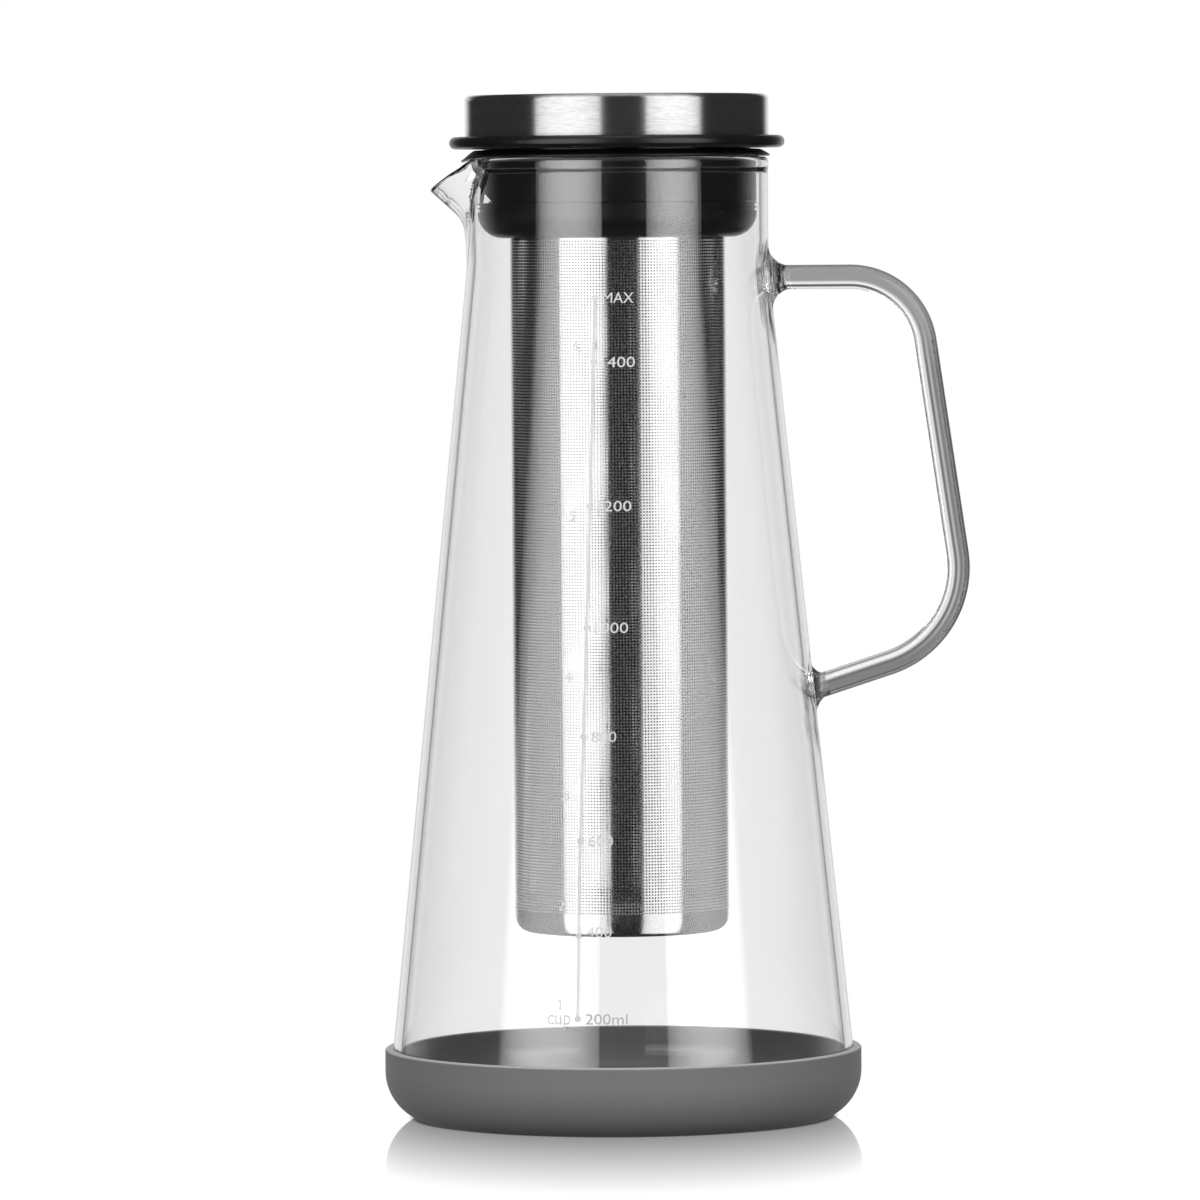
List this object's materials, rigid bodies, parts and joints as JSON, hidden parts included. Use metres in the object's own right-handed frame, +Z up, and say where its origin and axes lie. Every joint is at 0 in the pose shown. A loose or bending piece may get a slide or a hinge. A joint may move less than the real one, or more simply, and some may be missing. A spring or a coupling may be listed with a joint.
{
  "type": "cold brew coffee maker",
  "caption": "Conical glass jug with rod handle and pouring spout in a silicone base, with a lift-out fine steel filter and a steel-capped lid that lifts and turns.",
  "frame": {"origin": "centre of the silicone base's underside, on the jug's axis", "axes": "+Z up along the jug's axis, +X towards the handle, -X towards the pouring spout; the XZ plane mirrors the object"},
  "size_m": [0.1495, 0.1212, 0.2595],
  "materials": {
    "clear_glass": "clear borosilicate glass",
    "grey_silicone": "matte grey silicone",
    "black_silicone": "satin black silicone",
    "black_moulding": "satin black moulding",
    "etched_steel": "finely perforated stainless sheet",
    "plain_steel": "plain rolled stainless sheet",
    "brushed_cap_steel": "stainless sheet brushed round its axis"
  },
  "bodies": {
    "carafe": {"silicone_base": "grey_silicone", "glass_carafe": "clear_glass", "glass_handle": "clear_glass"},
    "filter": {"filter_tube": "etched_steel", "filter_bottom_cup": "plain_steel", "filter_top_ring": "plain_steel", "filter_collar": "black_silicone"},
    "gasket": {"rim_gasket": "black_silicone"},
    "lid": {"lid_plug": "black_moulding", "lid_core": "black_moulding", "drip_ring": "black_silicone", "lid_cap": "brushed_cap_steel"}
  },
  "joints": [
    {"name": "filter_lift", "type": "slide", "parent": "carafe", "child": "filter", "axis": [0, 0, 1], "range_m": [0, 0.205]},
    {"name": "lid_lift", "type": "slide", "parent": "filter", "child": "gasket", "axis": [0, 0, 1], "range_m": [0, 0.08]},
    {"name": "lid_turn", "type": "hinge", "parent": "gasket", "child": "lid", "pos_m": [0, 0, 0.2475], "axis": [0, 0, 1], "continuous": true}
  ]
}
